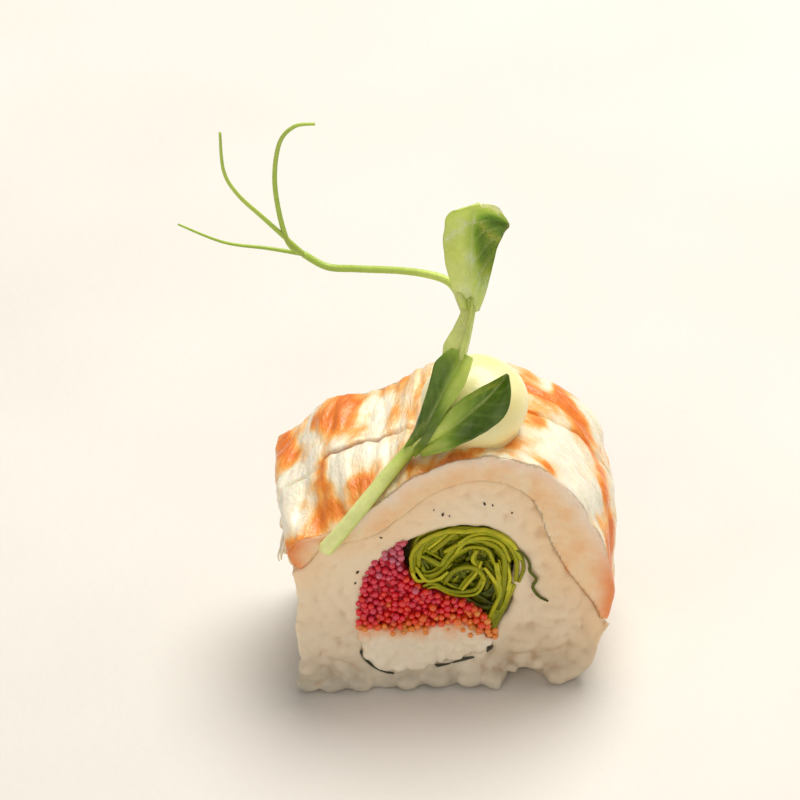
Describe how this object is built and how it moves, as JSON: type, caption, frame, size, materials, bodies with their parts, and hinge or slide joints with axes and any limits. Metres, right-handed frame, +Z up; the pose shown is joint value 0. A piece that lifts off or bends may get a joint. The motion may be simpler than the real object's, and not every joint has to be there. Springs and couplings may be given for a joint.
{
  "type": "sushi roll slice",
  "caption": "Slice of an inside-out sushi roll with cooked shrimp on top, fillings of roe, seaweed and cream cheese, a dot of sauce and a pea shoot.",
  "frame": {"origin": "centre of the base, on the flat the slice stands on, under the middle of the roll", "axes": "+Z up; the roll's axis runs along Y; the cut face that shows looks to -Y; +X is to its right"},
  "size_m": [0.0586, 0.026, 0.0802],
  "materials": {
    "rice": "moist cooked rice, smeared smooth on the cut face",
    "nori": "damp dark seaweed sheet",
    "cream_cheese": "smooth soft cheese",
    "roe": "wet tiny beads, crimson to orange red",
    "seaweed_salad": "wet thin olive green strands",
    "shrimp": "moist cooked shrimp, pale flesh with orange bands",
    "sauce": "glossy pale yellow mayonnaise",
    "pea_shoot": "fresh leaf with a soft shine"
  },
  "bodies": {
    "root": {"rice": "rice", "nori": "nori", "cream_cheese": "cream_cheese", "roe": "roe", "seaweed_salad": "seaweed_salad", "shrimp_front": "shrimp", "shrimp_back": "shrimp", "sauce_dot": "sauce", "pea_shoot": "pea_shoot"}
  },
  "joints": []
}
